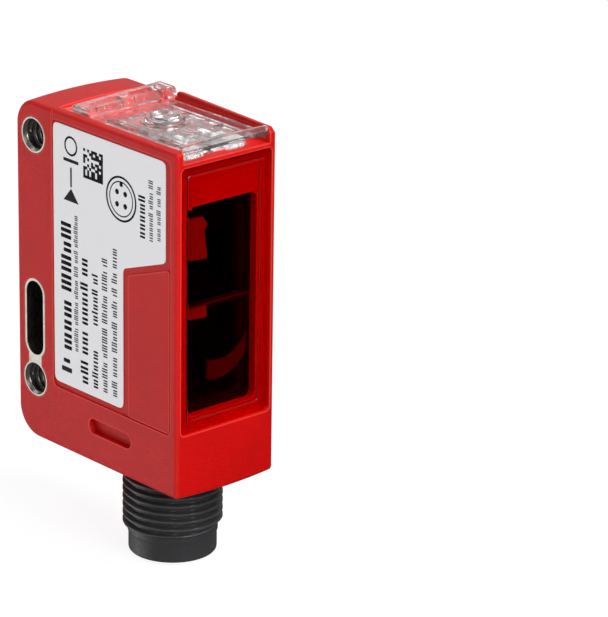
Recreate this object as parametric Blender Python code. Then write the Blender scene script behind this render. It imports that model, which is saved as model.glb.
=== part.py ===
"""Photoelectric sensor in a slim cubic housing, as an assembly of separate pieces.

Every size below is in millimetres and the builders turn it into metres. x runs from the label side (0)
to the plain side, y from the lens face (0) to the back, z from the housing's bottom (0) up. The model's
own frame has the same directions and its origin at MOUNT_POINT, on the plain side's mounting face.
"""

import math

import bmesh
import bpy
from mathutils import Vector

MM = 0.001

# Housing
WIDTH = 15.0
DEPTH = 29.5
HEIGHT = 42.15
CROWN = 0.35                      # rise of the top, and drop of the bottom, halfway across the width
REAR_TOP_RADIUS = 3.2
REAR_BOTTOM_RADIUS = 3.6
EDGE_RADIUS = 0.45
SIDE_WALL = 1.0                   # thickness of the side walls beside the cover
INNER_WALL = 1.5                  # thickness of the side walls beside the electronics
FLOOR = 2.2
FRONT_WALL_BACK = 2.2
INTERIOR_BACK = 21.5
LEDGE_Z = 40.72                   # the ledge and front bar that the cover rests on
TROUGH_BACK = 22.4
RIM_FRONT = 0.3                   # rim on top of the plain side wall, rounded outside
RIM_BACK = 16.7
RIM_FRONT_TOP = 42.6
RIM_BACK_TOP = 43.05
RIM_ROUND = 0.8
SEAM_FRONT = 22.6                 # shadow line between the label pocket and the top
SEAM_BACK = 22.75
SEAM_DEPTH = 0.12
RECESS_LOW = (8.25, 3.7)          # stadium pressed into both sides, as (y, z)
RECESS_HIGH = (16.05, 5.6)
RECESS_CORNER = 0.92
RECESS_DEPTH = 0.8

# Front window and optics
WINDOW_LOW = (0.7, 7.7)
WINDOW_HIGH = (14.3, 40.2)
WINDOW_REBATE = 1.15
WINDOW_CORNER = 0.6
OPENING_LOW = (2.3, 9.5)
OPENING_HIGH = (12.7, 35.1)
OPENING_CORNER = 1.0
CHANNEL_Z = (15.95, 28.65)        # receiver below, transmitter above
CHANNEL_HALF = (4.9, 5.95)
CHANNEL_CORNER = 1.0
THROAT_HALF = (4.0, 5.0)
CHANNEL_END_HALF = 1.6
CARRIER_LOW = (1.75, 2.4, 8.5)
CARRIER_HIGH = (13.25, 13.6, 36.1)
SEAT_BACK = 7.0
LENS_BACK = 6.9
LENS_EDGE = 5.2                   # where the lens's flat edge ends and its dome starts
LENS_DOME = 1.7
POLARISER_FRONT = 2.75
POLARISER_BACK = 3.0

# Mounting holes
HOLE_Y = 26.2
UPPER_HOLE_Z = 38.1
LOWER_HOLE_Z = 7.45
SLEEVE_RADIUS = 2.2
THREAD_RADIUS = 1.65
MOUTH_RADIUS = 1.98
SLOT_LOW_Z = 12.1
SLOT_HIGH_Z = 18.3
SLOT_RADIUS = 1.55
SLOT_WALL = 0.35
WEB_HALF = 1.2
MOUNT_POINT = (WIDTH, HOLE_Y, 29.0)

# Label and its pocket
POCKET_LOW = (1.1, 7.65)
POCKET_HIGH = (22.7, 41.0)
POCKET_DEPTH = 0.2
POCKET_CORNER = 0.7
LABEL_FRONT = 2.1
LABEL_STEP = 9.75
LABEL_BACK = 22.5
LABEL_LOW = 8.45
LABEL_HIGH = 40.7
LABEL_THICK = 0.1
STEP_SLOPE = 0.35                 # the label's slanted edge rises this much for each mm forward
LABEL_CORNER = 0.8
LABEL_STEP_GAP = 0.55
LABEL_SINK = 0.03                 # the label's back stays this far in front of the pocket's floor
PANEL_BACK = 8.75                 # flush panel in front of the label's narrow half
PANEL_BACK_Z = 25.35
PANEL_SINK = 0.02
PANEL_GAP = 0.2

# M12 x 1 plug
PLUG_X = WIDTH / 2
PLUG_Y = 9.5
THREAD_PITCH = 1.0
THREAD_MAJOR = 6.0
THREAD_MINOR = 5.4
THREAD_FORM = (0.0, 0.75, 1.0, 0.75)   # height of the rows of points in one pitch, root 0 and crest 1
THREAD_END_Z = -8.4
PLUG_END_Z = -10.95
PLUG_NOSE_RADIUS = 5.3
PLUG_BORE = 4.3
PLUG_FLANGE_RADIUS = 5.85         # inner flange that holds the plug in the housing's floor
PLUG_FLANGE_Z = 3.05
PLUG_TOP_Z = 4.0
SEAL_LOW_Z = 2.25
CARRIER_FACE_Z = -3.6
CARRIER_BACK_Z = 3.6
CODING_RIB_HALF = 0.55
CODING_RIB_INNER = 3.2
CODING_RIB_END_Z = -9.6
PIN_COUNT = 4
PIN_CIRCLE = 2.5
PIN_RADIUS = 0.5
PIN_TAIL_RADIUS = 0.3
PIN_TIP_Z = -9.9
PIN_SHOULDER_Z = 4.4
PIN_END_Z = 5.4

# Cover, button and indicators
COVER_TOP = 41.95
COVER_THICK = 0.8
COVER_FRONT = 0.4
LIP_TOP = 42.8
RIDGE_TOP = 43.0                  # raised bar across the cover's rear, at the label side
RIDGE_FAR_TOP = 43.4              # and at the plain side, where it laps over the wall
RIDGE_LAP = 0.6
RIDGE_FRONT = 16.9
RIDGE_BACK = 20.1
BUTTON_Y = 11.1
BUTTON_RADIUS = 2.3
BUTTON_TOP = 42.85
COLLAR_RADIUS = 3.0               # low collar of the cover round the button
COLLAR_TOP = 42.4
BUTTON_STEM_RADIUS = 0.7
BUTTON_FLANGE_RADIUS = 2.8
BUTTON_FLANGE = 0.45              # thickness of the flange under the cover's plate
BUTTON_LOW = 40.03
SWITCH_TOP = 39.5
PLUNGER_RADIUS = 0.8
PLUNGER_LOW = 38.95
PLUNGER_HIGH = 39.98
PIPE_X = (4.4, 10.6)
PIPE_Y = 3.2
PIPE_RADIUS = 1.6
PIPE_LOW = 39.15
PIPE_HIGH = 41.05
GROOVE_X = (3.2, 11.8)
GROOVE_HALF = 0.35
RIDGE_SLOT_X = (4.9, 10.6)
RIDGE_SLOT_HALF = 2.1

# Boards
BOARD_FRONT = 14.9
BOARD_THICK = 1.0
BOARD_X = (2.0, 13.0)
MAIN_BOARD_Z = (6.0, 36.8)
INDICATOR_BOARD_Z = 37.5
INDICATOR_BOARD_THICK = 0.8
INDICATOR_BOARD_Y = (2.6, 18.5)
SIGNAL_CHIP = ((4.6, 10.4), (18.0, 23.8), 1.0)       # x range, z range, thickness
REGULATOR_CHIP = ((5.6, 9.4), (9.6, 12.4), 1.1)
CRYSTAL_LOW = (6.0, 26.2)
CRYSTAL_HIGH = (9.2, 28.2)
CRYSTAL_THICK = 0.9
CAPACITOR_Z = 32.4
CAPACITOR_RADIUS = 1.9
CAPACITOR_HEIGHT = 3.8
SHIELD_HALF = 2.6
SHIELD_THICK = 0.9
SHIELD_WALL = 0.25
SHIELD_APERTURE = 1.1
PHOTODIODE_HALF = 1.0
PHOTODIODE_THICK = 0.5
FLEX_LOW = (3.9, 5.9, 4.65)
FLEX_HIGH = (11.1, 14.6, 4.85)
FLEX_TOP = 9.0

CLEARANCE = 0.05
CUT = 2.0                         # how far a cutter runs past the face it opens

RED = (0.62, 0.012, 0.012, 1)
BLACK = (0.02, 0.02, 0.022, 1)
STEEL = (0.55, 0.53, 0.5, 1)
GOLD = (0.75, 0.55, 0.22, 1)
BOARD_GREEN = (0.03, 0.16, 0.07, 1)
CHIP = (0.025, 0.025, 0.028, 1)


# Scene and materials

def clear_scene():
    for old in list(bpy.data.objects):
        bpy.data.objects.remove(old)


def material(name, color, roughness, metallic=0.0, transmission=0.0):
    made = bpy.data.materials.new(name)
    made.use_nodes = True
    shader = made.node_tree.nodes["Principled BSDF"]
    shader.inputs["Base Color"].default_value = color
    shader.inputs["Roughness"].default_value = roughness
    shader.inputs["Metallic"].default_value = metallic
    shader.inputs["Transmission Weight"].default_value = transmission
    return made


def add_object(name, bm, at=MOUNT_POINT):
    """Turn a bmesh drawn in millimetres round the point at into an object in metres."""
    bmesh.ops.recalc_face_normals(bm, faces=bm.faces)
    bmesh.ops.scale(bm, vec=(MM, MM, MM), verts=bm.verts)
    mesh = bpy.data.meshes.new(name)
    bm.to_mesh(mesh)
    bm.free()
    made = bpy.data.objects.new(name, mesh)
    made.location = (Vector(at) - Vector(MOUNT_POINT)) * MM
    bpy.context.collection.objects.link(made)
    return made


def add_part(name, bm, finish, at=MOUNT_POINT, smooth=True):
    part = add_object(name, bm, at)
    part.data.materials.append(finish)
    if smooth:
        part.data.shade_smooth()
        part.data.set_sharp_from_angle(angle=math.radians(35))
    return part


def combine(part, operation, name, bm, at=MOUNT_POINT):
    """Cut a shape out of a part, or join it on, with an exact Boolean."""
    tool = add_object(name, bm, at)
    tool.hide_render = True
    tool.display_type = "WIRE"
    boolean = part.modifiers.new(name, "BOOLEAN")
    boolean.operation = operation
    boolean.object = tool
    boolean.solver = "EXACT"


def cut(part, name, bm, at=MOUNT_POINT):
    combine(part, "DIFFERENCE", name, bm, at)


def join(part, name, bm, at=MOUNT_POINT):
    combine(part, "UNION", name, bm, at)


# Outlines and solids

def arc(center, radius, start, end, steps):
    """Points on an arc, angles in degrees, both ends included."""
    angles = [math.radians(start + (end - start) * i / steps) for i in range(steps + 1)]
    return [(center[0] + radius * math.cos(a), center[1] + radius * math.sin(a)) for a in angles]


def rounded_rectangle(low, high, radius, steps=4):
    (u0, v0), (u1, v1) = low, high
    return (arc((u1 - radius, v0 + radius), radius, -90, 0, steps)
            + arc((u1 - radius, v1 - radius), radius, 0, 90, steps)
            + arc((u0 + radius, v1 - radius), radius, 90, 180, steps)
            + arc((u0 + radius, v0 + radius), radius, 180, 270, steps))


def circle(center, radius, steps=24):
    return arc(center, radius, 0, 360, steps)[:-1]


def rounded_polygon(corners, radius, steps=3):
    """Round the corners of an outline, convex and concave alike."""
    points = []
    count = len(corners)
    for i, corner in enumerate(corners):
        here = Vector(corner)
        before = (Vector(corners[i - 1]) - here).normalized()
        after = (Vector(corners[(i + 1) % count]) - here).normalized()
        half = before.angle(after) / 2
        reach = radius / math.tan(half)
        start = here + before * reach
        end = here + after * reach
        for k in range(steps + 1):
            t = k / steps
            curved = start.lerp(here, t).lerp(here.lerp(end, t), t)
            points.append(tuple(curved))
    return points


def to_space(axis, point, along):
    """Put a point of a flat outline into space, at a distance along the axis across it."""
    u, v = point
    return {"x": (along, u, v), "y": (u, along, v), "z": (u, v, along)}[axis]


def loft(sections, axis, bm=None, at=MOUNT_POINT):
    """Close a solid over outlines with equally many points: sections are (outline, distance) pairs."""
    bm = bm or bmesh.new()
    origin = Vector(at)
    rings = [[bm.verts.new(Vector(to_space(axis, p, along)) - origin) for p in outline]
             for outline, along in sections]
    for lower, upper in zip(rings, rings[1:]):
        for i in range(len(lower)):
            j = (i + 1) % len(lower)
            bm.faces.new((lower[i], lower[j], upper[j], upper[i]))
    bm.faces.new(rings[0])
    bm.faces.new(rings[-1])
    return bm


def prism(outline, axis, low, high, bm=None, at=MOUNT_POINT):
    return loft([(outline, low), (outline, high)], axis, bm, at)


def block(low, high, bm=None, at=MOUNT_POINT):
    outline = [(low[0], low[1]), (high[0], low[1]), (high[0], high[1]), (low[0], high[1])]
    return prism(outline, "z", low[2], high[2], bm, at)


def turned(profile, steps=24, axis="z"):
    """Turn a closed (radius, height) profile round the axis; a radius of 0 is a point on the axis."""
    bm = bmesh.new()
    rings = []
    for radius, height in profile:
        outline = circle((0, 0), radius, steps) if radius > 0 else [(0, 0)]
        rings.append([bm.verts.new(to_space(axis, p, height)) for p in outline])
    closed = all(radius > 0 for radius, height in profile)
    pairs = list(zip(rings, rings[1:]))
    if closed:
        pairs.append((rings[-1], rings[0]))
    for lower, upper in pairs:
        for i in range(steps):
            j = (i + 1) % steps
            corners = [lower[i % len(lower)], lower[j % len(lower)],
                       upper[j % len(upper)], upper[i % len(upper)]]
            bm.faces.new(list(dict.fromkeys(corners)))
    return bm


# Housing

def housing_shell():
    """The outer body: a side profile carried across the width, crowned at the top and bottom."""
    side = ([(0, 0)]
            + arc((DEPTH - REAR_BOTTOM_RADIUS, REAR_BOTTOM_RADIUS), REAR_BOTTOM_RADIUS, -90, 0, 8)
            + arc((DEPTH - REAR_TOP_RADIUS, HEIGHT - REAR_TOP_RADIUS), REAR_TOP_RADIUS, 0, 90, 8)
            + [(0, HEIGHT)])
    spans = 8
    sections = []
    for i in range(spans + 1):
        across = 2 * i / spans - 1
        rise = CROWN * (1 - across ** 2)
        outline = [(y, z + rise * (2 * z / HEIGHT - 1)) for y, z in side]
        sections.append((outline, WIDTH * i / spans))
    return loft(sections, "x")


def panel_outline():
    front = POCKET_LOW[0] + PANEL_GAP
    low = POCKET_LOW[1] + PANEL_GAP
    corners = [(front, low), (PANEL_BACK, low), (PANEL_BACK, PANEL_BACK_Z),
               (front, PANEL_BACK_Z + STEP_SLOPE * (PANEL_BACK - front))]
    return rounded_polygon(corners, 0.5)


def insert_outline(grow=0.0):
    """Slot and lower hole in one outline, with a narrow web between them."""
    ring = SLEEVE_RADIUS + grow
    slot = SLOT_RADIUS + SLOT_WALL + grow
    web = WEB_HALF + grow
    ring_angle = math.degrees(math.acos(web / ring))
    slot_angle = math.degrees(math.acos(web / slot))
    return (arc((HOLE_Y, LOWER_HOLE_Z), ring, 180 - ring_angle, 360 + ring_angle, 20)
            + arc((HOLE_Y, SLOT_LOW_Z), slot, -slot_angle, 0, 4)
            + arc((HOLE_Y, SLOT_HIGH_Z), slot, 0, 180, 12)
            + arc((HOLE_Y, SLOT_LOW_Z), slot, 180, 180 + slot_angle, 4))


def recess_outline():
    return rounded_rectangle(RECESS_LOW, RECESS_HIGH, RECESS_CORNER, 5)


def wall_rim():
    """Rim along the plain side wall: rounded outside and rising towards the rear."""
    inner = WIDTH - SIDE_WALL + 0.03
    outer = WIDTH - 0.03
    base = HEIGHT - 1
    slope = (RIM_BACK_TOP - RIM_FRONT_TOP) / (RIM_BACK - RIM_FRONT)
    ends = ((RIM_FRONT, 0.35), (RIM_FRONT + 0.3, 0), (RIM_BACK - 0.5, 0), (RIM_BACK - 0.15, 0.15),
            (RIM_BACK, 0.45))
    sections = []
    for y, drop in ends:
        top = RIM_FRONT_TOP + slope * (y - RIM_FRONT) - drop
        shoulder = arc((outer - RIM_ROUND, top - RIM_ROUND), RIM_ROUND, 0, 80, 4)
        sections.append(([(inner, base), (outer, base)] + shoulder + [(inner, top)], y))
    return loft(sections, "y")


def build_housing(finish):
    housing = add_part("housing", housing_shell(), finish)
    bevel = housing.modifiers.new("edges", "BEVEL")
    bevel.width = EDGE_RADIUS * MM
    bevel.segments = 2
    bevel.limit_method = "ANGLE"
    bevel.angle_limit = math.radians(50)
    above = HEIGHT + CUT
    cut(housing, "cut_trough", block((SIDE_WALL, -CUT, LEDGE_Z), (WIDTH - SIDE_WALL, TROUGH_BACK, above)))
    join(housing, "plain_wall_rim", wall_rim())
    cut(housing, "cut_interior",
        block((INNER_WALL, FRONT_WALL_BACK, FLOOR), (WIDTH - INNER_WALL, INTERIOR_BACK, LEDGE_Z + 1)))
    pipe_front = PIPE_Y - PIPE_RADIUS - CLEARANCE
    pipe_low = PIPE_LOW - 5 * CLEARANCE
    cut(housing, "cut_pipe_clearance",
        block((INNER_WALL, pipe_front, pipe_low), (WIDTH - INNER_WALL, PIPE_Y, LEDGE_Z + 1)))
    cut(housing, "cut_window_rebate",
        prism(rounded_rectangle(WINDOW_LOW, WINDOW_HIGH, WINDOW_CORNER), "y", -CUT, WINDOW_REBATE))
    cut(housing, "cut_optics_opening",
        prism(rounded_rectangle(OPENING_LOW, OPENING_HIGH, OPENING_CORNER), "y", 0, FRONT_WALL_BACK + 1))
    pocket = rounded_rectangle(POCKET_LOW, POCKET_HIGH, POCKET_CORNER, 3)
    cut(housing, "cut_label_pocket", prism(pocket, "x", -CUT, POCKET_DEPTH))
    join(housing, "side_panel", prism(panel_outline(), "x", PANEL_SINK, INNER_WALL - 0.3))
    for side, low, high in (("label", -CUT, RECESS_DEPTH), ("plain", WIDTH - RECESS_DEPTH, WIDTH + CUT)):
        cut(housing, f"cut_{side}_recess", prism(recess_outline(), "x", low, high))
    cut(housing, "cut_seam",
        block((-CUT, SEAM_FRONT, POCKET_HIGH[1] - 2 * POCKET_DEPTH), (SEAM_DEPTH, SEAM_BACK, above)))
    cut(housing, "cut_sleeve_bore",
        prism(circle((HOLE_Y, UPPER_HOLE_Z), SLEEVE_RADIUS + CLEARANCE, 32), "x", -CUT, WIDTH + CUT))
    cut(housing, "cut_insert_bore", prism(insert_outline(CLEARANCE), "x", -CUT, WIDTH + CUT))
    cut(housing, "cut_plug_bore",
        prism(circle((PLUG_X, PLUG_Y), THREAD_MINOR + CLEARANCE, 32), "z", -CUT, FLOOR + CUT))
    return housing


def build_window(finish):
    """A plate with a rounded bead round its front, held in the rebate."""
    inset = 1.4 * CLEARANCE
    front = 0.25
    bead_front = 0.05
    bead_start = 0.9
    bead_slope = 0.2
    bead_width = 0.4

    def ring(step):
        low = (WINDOW_LOW[0] + inset + step, WINDOW_LOW[1] + inset + step)
        high = (WINDOW_HIGH[0] - inset - step, WINDOW_HIGH[1] - inset - step)
        return rounded_rectangle(low, high, max(WINDOW_CORNER - step, WINDOW_CORNER / 2))

    bead_in = bead_start + bead_slope
    bead_out = bead_in + bead_width
    sections = [(ring(0), WINDOW_REBATE - 2 * CLEARANCE), (ring(0), front), (ring(bead_start), front),
                (ring(bead_in), bead_front), (ring(bead_out), bead_front),
                (ring(bead_out + bead_slope), front)]
    add_part("front_window", loft(sections, "y"), finish)


# Optics

def channel_section(z, half, corner):
    """Outline round a channel's axis at height z, half as wide and high as the pair half."""
    return rounded_rectangle((PLUG_X - half[0], z - half[1]), (PLUG_X + half[0], z + half[1]), corner)


def build_carrier(finish):
    """Black chamber with two channels that narrow from the lenses to the light source and the detector."""
    carrier = add_part("optics_carrier", block(CARRIER_LOW, CARRIER_HIGH), finish, smooth=False)
    for name, z in zip(("receiver", "transmitter"), CHANNEL_Z):
        seat = channel_section(z, CHANNEL_HALF, CHANNEL_CORNER)
        throat = channel_section(z, THROAT_HALF, 0.8)
        end = channel_section(z, (CHANNEL_END_HALF, CHANNEL_END_HALF), 0.4)
        cut(carrier, f"cut_{name}_seat", prism(seat, "y", CARRIER_LOW[1] - CUT, SEAT_BACK))
        cut(carrier, f"cut_{name}_channel",
            loft([(throat, SEAT_BACK - 0.5), (end, CARRIER_HIGH[1] + CUT)], "y"))


def build_lenses(finish, film):
    """A plano-convex lens and a polarising film in the mouth of each channel."""
    rings = 5
    last_angle = 85
    half = [side - CLEARANCE for side in CHANNEL_HALF]
    corner = CHANNEL_CORNER - CLEARANCE
    for name, z in zip(("receiver", "transmitter"), CHANNEL_Z):
        edge = channel_section(z, half, corner)
        sections = [(edge, LENS_BACK), (edge, LENS_EDGE)]
        for i in range(1, rings + 1):
            angle = math.radians(last_angle * i / rings)
            size = math.cos(angle)
            outline = channel_section(z, [side * size for side in half], corner * size)
            sections.append((outline, LENS_EDGE - LENS_DOME * math.sin(angle)))
        add_part(f"{name}_lens", loft(sections, "y"), finish)
        sheet = channel_section(z, half, corner - CLEARANCE)
        add_part(f"{name}_polariser", prism(sheet, "y", POLARISER_FRONT, POLARISER_BACK), film)


# Mounting metal

def bore_spool(depth):
    """Cutter for a threaded hole: a straight bore with a chamfer at each end."""
    over = MOUTH_RADIUS + 0.3
    step = MOUTH_RADIUS - THREAD_RADIUS
    profile = [(0, -over + MOUTH_RADIUS), (over, -over + MOUTH_RADIUS), (THREAD_RADIUS, step),
               (THREAD_RADIUS, depth - step), (over, depth + over - MOUTH_RADIUS),
               (0, depth + over - MOUTH_RADIUS)]
    return turned(profile, 24, "x")


def build_mounting_metal(finish):
    sleeve = add_part("upper_sleeve",
                      prism(circle((HOLE_Y, UPPER_HOLE_Z), SLEEVE_RADIUS, 32), "x", 0, WIDTH), finish)
    cut(sleeve, "cut_upper_thread", bore_spool(WIDTH), (0, HOLE_Y, UPPER_HOLE_Z))
    insert = add_part("slotted_insert", prism(insert_outline(), "x", 0, WIDTH), finish)
    cut(insert, "cut_lower_thread", bore_spool(WIDTH), (0, HOLE_Y, LOWER_HOLE_Z))
    slot = rounded_rectangle((HOLE_Y - SLOT_RADIUS, SLOT_LOW_Z - SLOT_RADIUS),
                             (HOLE_Y + SLOT_RADIUS, SLOT_HIGH_Z + SLOT_RADIUS), SLOT_RADIUS - 0.001, 8)
    cut(insert, "cut_slot", prism(slot, "x", -CUT, WIDTH + CUT))


def build_label(finish):
    slope_rise = STEP_SLOPE * (LABEL_STEP - LABEL_FRONT)
    step_z = PANEL_BACK_Z + LABEL_STEP_GAP
    corners = [(LABEL_STEP, LABEL_LOW), (LABEL_BACK, LABEL_LOW), (LABEL_BACK, LABEL_HIGH),
               (LABEL_FRONT, LABEL_HIGH), (LABEL_FRONT, step_z + slope_rise), (LABEL_STEP, step_z)]
    back = POCKET_DEPTH - LABEL_SINK
    outline = rounded_polygon(corners, LABEL_CORNER)
    add_part("label", prism(outline, "x", back - LABEL_THICK, back), finish, smooth=False)


# Plug

def plug_shell_outside(steps=32):
    """Nose, M12 x 1 thread, stem and inner flange in one skin.

    The thread's rows of points climb one pitch for each turn, so each row meets the row four places above
    it where the turn closes.
    """
    bm = bmesh.new()
    rows_per_turn = len(THREAD_FORM)
    turns = round((0 - THREAD_END_Z) / THREAD_PITCH) - 1
    first = THREAD_END_Z + 0.1

    def ring(radius, z):
        return [bm.verts.new(to_space("z", p, z)) for p in circle((0, 0), radius, steps)]

    def crest(row, i):
        turn = (row + rows_per_turn * i / steps) / rows_per_turn
        fade = min(1.0, turn * 1.5, (turns + 1 - turn) * 1.5)
        high = THREAD_FORM[row % rows_per_turn]
        return THREAD_MINOR + (THREAD_MAJOR - THREAD_MINOR) * high * max(fade, 0.0)

    rows = rows_per_turn * turns + 1
    columns = []
    for i in range(steps):
        angle = 2 * math.pi * i / steps
        column = []
        for row in range(rows + (rows_per_turn if i == 0 else 0)):
            z = first + THREAD_PITCH * (row / rows_per_turn + i / steps)
            radius = crest(row, i)
            column.append(bm.verts.new((radius * math.cos(angle), radius * math.sin(angle), z)))
        columns.append(column)
    for i in range(steps):
        here = columns[i]
        there = columns[i + 1] if i + 1 < steps else columns[0][rows_per_turn:]
        for row in range(rows - 1):
            bm.faces.new((here[row], there[row], there[row + 1], here[row + 1]))

    nose = [ring(PLUG_BORE, PLUG_END_Z + 0.2), ring(PLUG_BORE + 0.2, PLUG_END_Z),
            ring(PLUG_NOSE_RADIUS - 0.3, PLUG_END_Z), ring(PLUG_NOSE_RADIUS - 0.1, PLUG_END_Z + 0.2),
            ring(PLUG_NOSE_RADIUS, PLUG_END_Z + 0.6), ring(PLUG_NOSE_RADIUS, THREAD_END_Z - 0.1)]
    top = [ring(THREAD_MINOR, 0.2), ring(THREAD_MINOR, PLUG_FLANGE_Z),
           ring(PLUG_FLANGE_RADIUS, PLUG_FLANGE_Z), ring(PLUG_FLANGE_RADIUS, PLUG_TOP_Z),
           ring(PLUG_BORE, PLUG_TOP_Z)]
    for lower, upper in list(zip(nose, nose[1:])) + list(zip(top, top[1:])) + [(top[-1], nose[0])]:
        for i in range(steps):
            j = (i + 1) % steps
            bm.faces.new((lower[i], lower[j], upper[j], upper[i]))
    for i in range(steps - 1):
        bm.faces.new((nose[-1][i], nose[-1][i + 1], columns[i + 1][0], columns[i][0]))
        bm.faces.new((columns[i][rows - 1], columns[i + 1][rows - 1], top[0][i + 1], top[0][i]))
    bm.faces.new([nose[-1][-1], nose[-1][0]] + columns[0][:rows_per_turn + 1] + [columns[-1][0]])
    bm.faces.new([columns[-1][rows - 1], columns[0][rows + rows_per_turn - 1]]
                 + columns[0][rows - 1:rows + rows_per_turn - 1][::-1] + [top[0][0], top[0][-1]])
    return bm


def pin_place(number):
    angle = math.radians(45 + 360 / PIN_COUNT * (number - 1))
    return (PLUG_X + PIN_CIRCLE * math.cos(angle), PLUG_Y + PIN_CIRCLE * math.sin(angle), 0)


def build_plug(shell_finish, carrier_finish, pin_finish, seal_finish):
    axis_point = (PLUG_X, PLUG_Y, 0)
    middle = (0, 0, 0)
    add_part("connector_shell", plug_shell_outside(), shell_finish, axis_point)
    fit = PLUG_BORE - CLEARANCE
    chamfer = 0.2
    disc = [(0, CARRIER_FACE_Z), (fit - chamfer, CARRIER_FACE_Z), (fit, CARRIER_FACE_Z + chamfer),
            (fit, CARRIER_BACK_Z), (0, CARRIER_BACK_Z)]
    carrier = add_part("contact_carrier", turned(disc), carrier_finish, axis_point)
    rib = rounded_rectangle((-CODING_RIB_HALF, 0.12 - PLUG_BORE), (CODING_RIB_HALF, -CODING_RIB_INNER),
                            0.25, 3)
    join(carrier, "coding_rib",
         prism(rib, "z", CODING_RIB_END_Z, CARRIER_FACE_Z + 0.5, at=middle), axis_point)
    tip = PIN_RADIUS / 2
    for number in range(1, PIN_COUNT + 1):
        at = pin_place(number)
        bore = circle((0, 0), PIN_RADIUS + CLEARANCE, 16)
        cut(carrier, f"cut_pin_{number}",
            prism(bore, "z", CARRIER_FACE_Z - 1, CARRIER_BACK_Z + 1, at=middle), at)
        profile = [(0, PIN_TIP_Z), (tip, PIN_TIP_Z), (PIN_RADIUS, PIN_TIP_Z + 0.35),
                   (PIN_RADIUS, PIN_SHOULDER_Z), (PIN_TAIL_RADIUS, PIN_SHOULDER_Z),
                   (PIN_TAIL_RADIUS, PIN_END_Z), (0, PIN_END_Z)]
        add_part(f"contact_pin_{number}", turned(profile, 16), pin_finish, at)
    inner = THREAD_MINOR + CLEARANCE
    seal_top = PLUG_FLANGE_Z - CLEARANCE
    add_part("connector_seal",
             turned([(inner, SEAL_LOW_Z), (PLUG_FLANGE_RADIUS, SEAL_LOW_Z), (PLUG_FLANGE_RADIUS, seal_top),
                     (inner, seal_top)], 32),
             seal_finish, axis_point)


# Electronics

def build_chip(name, sizes, rear, finish):
    (x0, x1), (z0, z1), thick = sizes
    add_part(name, block((x0, rear, z0), (x1, rear + thick, z1)), finish, smooth=False)


def build_boards(board_finish, chip_finish, metal, flex_finish):
    back = BOARD_FRONT + BOARD_THICK
    rear = back + CLEARANCE
    x0, x1 = BOARD_X
    main_low, main_high = MAIN_BOARD_Z
    add_part("main_board", block((x0, BOARD_FRONT, main_low), (x1, back, main_high)), board_finish,
             smooth=False)
    build_chip("signal_chip", SIGNAL_CHIP, rear, chip_finish)
    build_chip("regulator_chip", REGULATOR_CHIP, rear, chip_finish)
    can = rounded_rectangle(CRYSTAL_LOW, CRYSTAL_HIGH, 0.6)
    add_part("crystal_can", prism(can, "y", rear, rear + CRYSTAL_THICK), metal)
    shoulder = 0.2
    add_part("filter_capacitor",
             turned([(0, 0), (CAPACITOR_RADIUS, 0), (CAPACITOR_RADIUS, CAPACITOR_HEIGHT - shoulder),
                     (CAPACITOR_RADIUS - shoulder, CAPACITOR_HEIGHT), (0, CAPACITOR_HEIGHT)], 24, "y"),
             metal, (PLUG_X, rear, CAPACITOR_Z))

    top = INDICATOR_BOARD_Z + INDICATOR_BOARD_THICK
    front, end = INDICATOR_BOARD_Y
    add_part("indicator_board", block((x0, front, INDICATOR_BOARD_Z), (x1, end, top)), board_finish,
             smooth=False)
    link_top = INDICATOR_BOARD_Z - CLEARANCE
    add_part("board_link",
             block((PLUG_X - 3, back + 0.1, main_high - 1.8), (PLUG_X + 3, back + 1.4, link_top)),
             chip_finish, smooth=False)

    flex = add_part("connector_flex", block(FLEX_LOW, FLEX_HIGH), flex_finish, smooth=False)
    riser_front = FLEX_HIGH[1] - 0.2
    join(flex, "flex_riser",
         block((FLEX_LOW[0], riser_front, FLEX_LOW[2] + CLEARANCE), (FLEX_HIGH[0], FLEX_HIGH[1], FLEX_TOP)))
    for number in range(1, PIN_COUNT + 1):
        pad = circle((0, 0), PIN_TAIL_RADIUS + 0.1, 12)
        cut(flex, f"cut_flex_pad_{number}", prism(pad, "z", 4.2, 5.2, at=(0, 0, 0)), pin_place(number))


def build_emitter_and_detector(emitter_finish, chip_finish, metal):
    lower, upper = CHANNEL_Z
    front = BOARD_FRONT - CLEARANCE
    add_part("transmitter_led",
             turned([(0, front), (1.25, front), (1.25, front - 0.3), (0.9, front - 0.7),
                     (0.45, front - 0.95), (0, front - 1.0)], 16, "y"),
             emitter_finish, (PLUG_X, 0, upper))
    add_part("receiver_photodiode",
             block((PLUG_X - PHOTODIODE_HALF, front - PHOTODIODE_THICK, lower - PHOTODIODE_HALF),
                   (PLUG_X + PHOTODIODE_HALF, front, lower + PHOTODIODE_HALF)),
             chip_finish, smooth=False)
    shield_front = front - SHIELD_THICK
    shield = add_part("receiver_shield",
                      block((PLUG_X - SHIELD_HALF, shield_front, lower - SHIELD_HALF),
                            (PLUG_X + SHIELD_HALF, front, lower + SHIELD_HALF)),
                      metal, smooth=False)
    inside = SHIELD_HALF - SHIELD_WALL
    cut(shield, "cut_shield_hollow",
        block((PLUG_X - inside, shield_front + SHIELD_WALL, lower - inside),
              (PLUG_X + inside, front + CUT, lower + inside)))
    cut(shield, "cut_shield_aperture",
        prism(circle((PLUG_X, lower), SHIELD_APERTURE, 16), "y", front - CUT, front - 0.3))


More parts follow.
